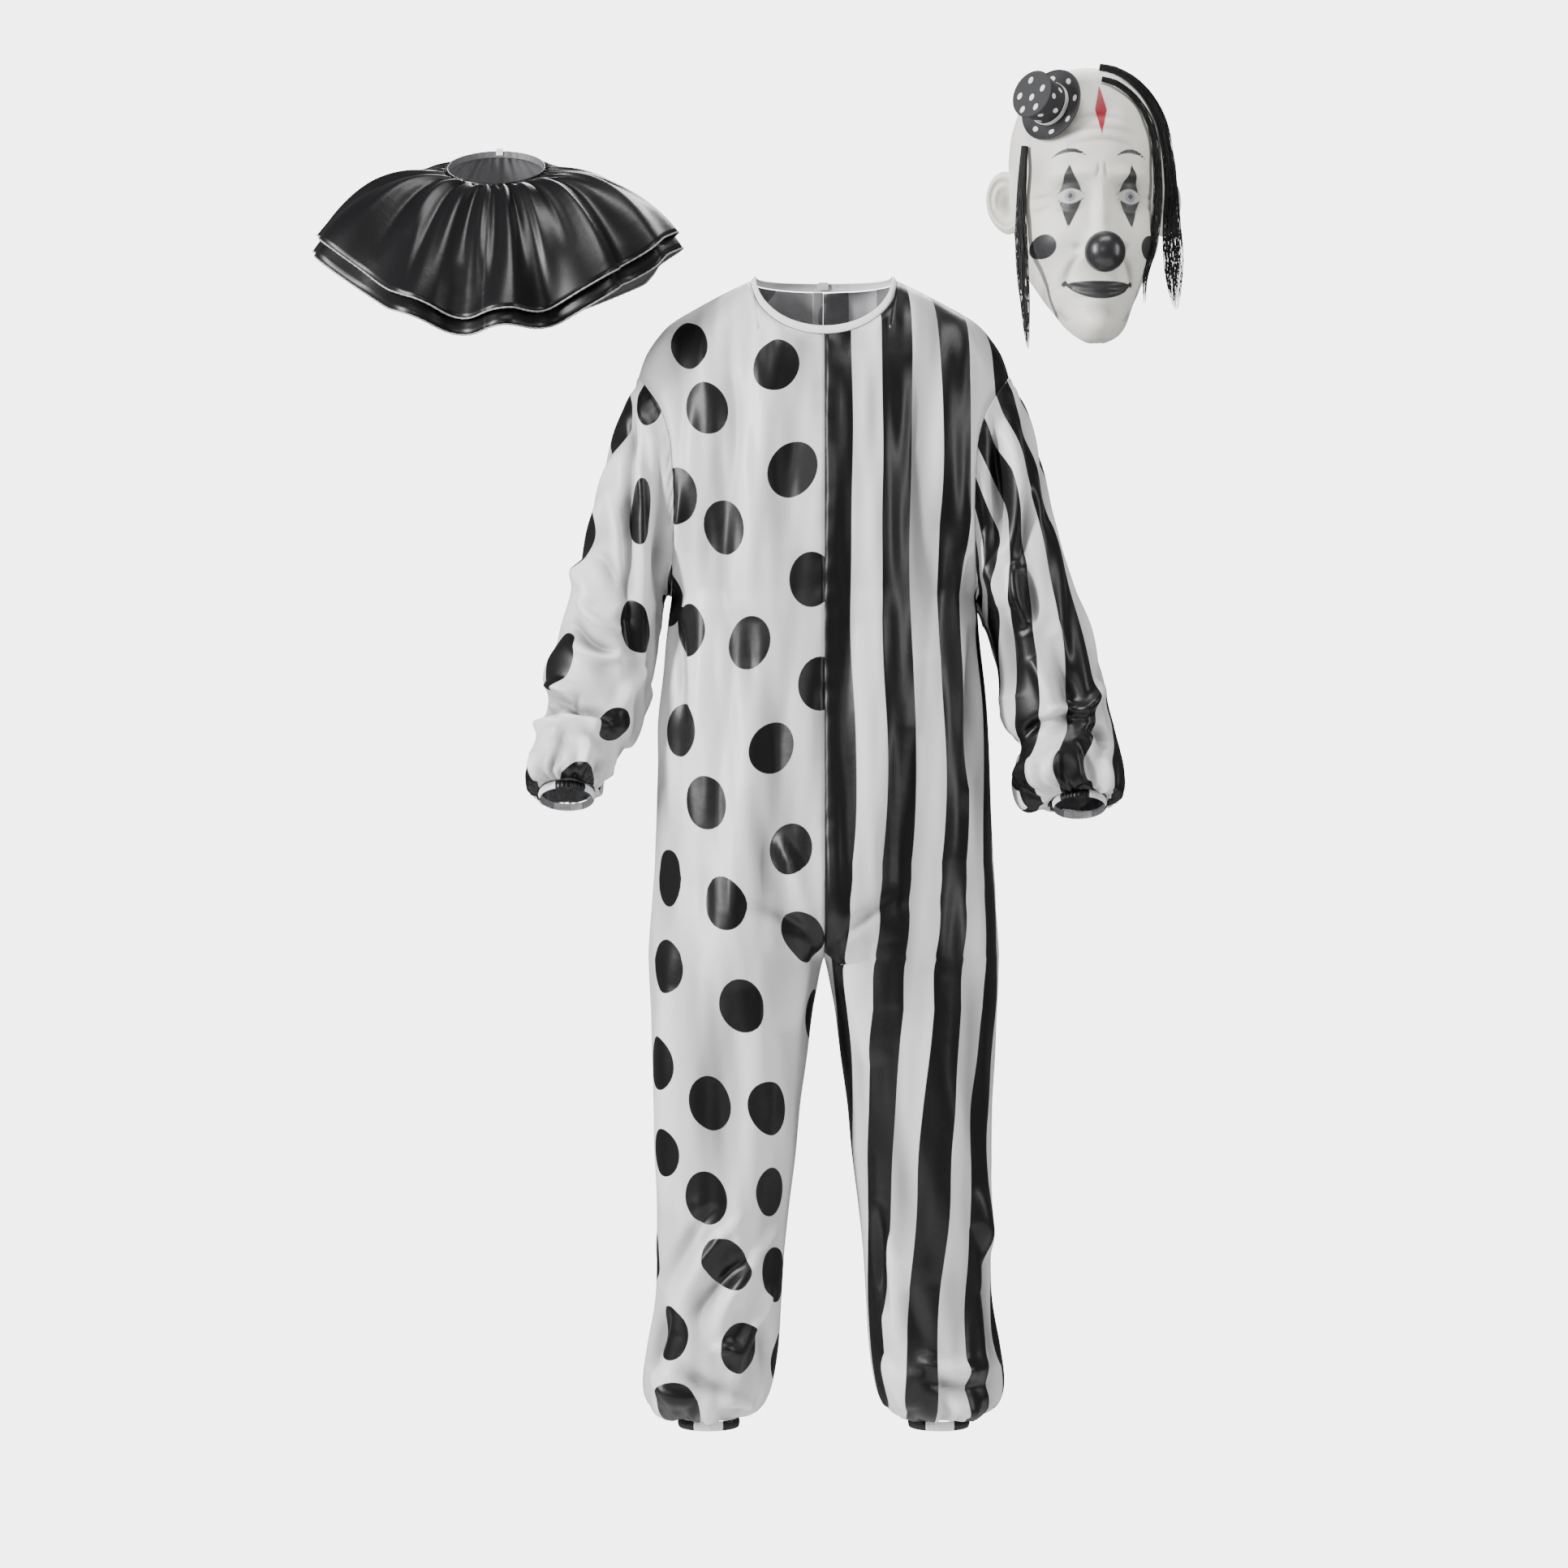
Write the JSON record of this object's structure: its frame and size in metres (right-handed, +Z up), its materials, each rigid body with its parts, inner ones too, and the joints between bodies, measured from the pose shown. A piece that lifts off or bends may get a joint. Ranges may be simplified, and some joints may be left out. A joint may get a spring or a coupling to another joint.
{
  "type": "clown costume",
  "caption": "One-piece satin clown suit, half dotted and half striped, open as worn, with a two-layer neck ruff and a latex clown mask with hair and a small top hat.",
  "frame": {"origin": "middle of the suit's neck opening", "axes": "+Z up, -Y out of the wearer's front, +X towards the wearer's left (the striped side)"},
  "size_m": [1.1513, 0.3445, 1.795],
  "materials": {
    "satin_dots": "white polyester satin with large black dots, soft sheen",
    "satin_stripes": "black and white striped polyester satin, soft sheen",
    "satin_white": "white polyester satin, soft sheen",
    "satin_black": "black polyester satin, soft sheen",
    "latex_white": "off-white latex, satin",
    "latex_black": "black latex, matt",
    "hair": "black nylon strands"
  },
  "bodies": {
    "root": {"front_dots": "satin_dots", "back_dots": "satin_dots", "sleeve_dots": "satin_dots", "cuff_dots": "satin_dots", "ankle_dots": "satin_dots", "front_stripes": "satin_stripes", "back_stripes": "satin_stripes", "sleeve_stripes": "satin_stripes", "cuff_stripes": "satin_stripes", "ankle_stripes": "satin_stripes", "neck_binding": "satin_white", "back_placket": "satin_white", "back_tab": "satin_white", "ruff_tab": "satin_white", "hat_band": "satin_white", "ruff_upper": "satin_black", "ruff_lower": "satin_black", "ruff_neckband": "satin_black", "mask_head": "latex_white", "mask_ear_right": "latex_white", "mask_ear_left": "latex_white", "mask_nose": "latex_black", "hat_brim": "latex_black", "hat_crown": "latex_black", "hair_right": "hair", "hair_left_outer": "hair", "hair_left_inner": "hair"}
  },
  "joints": []
}
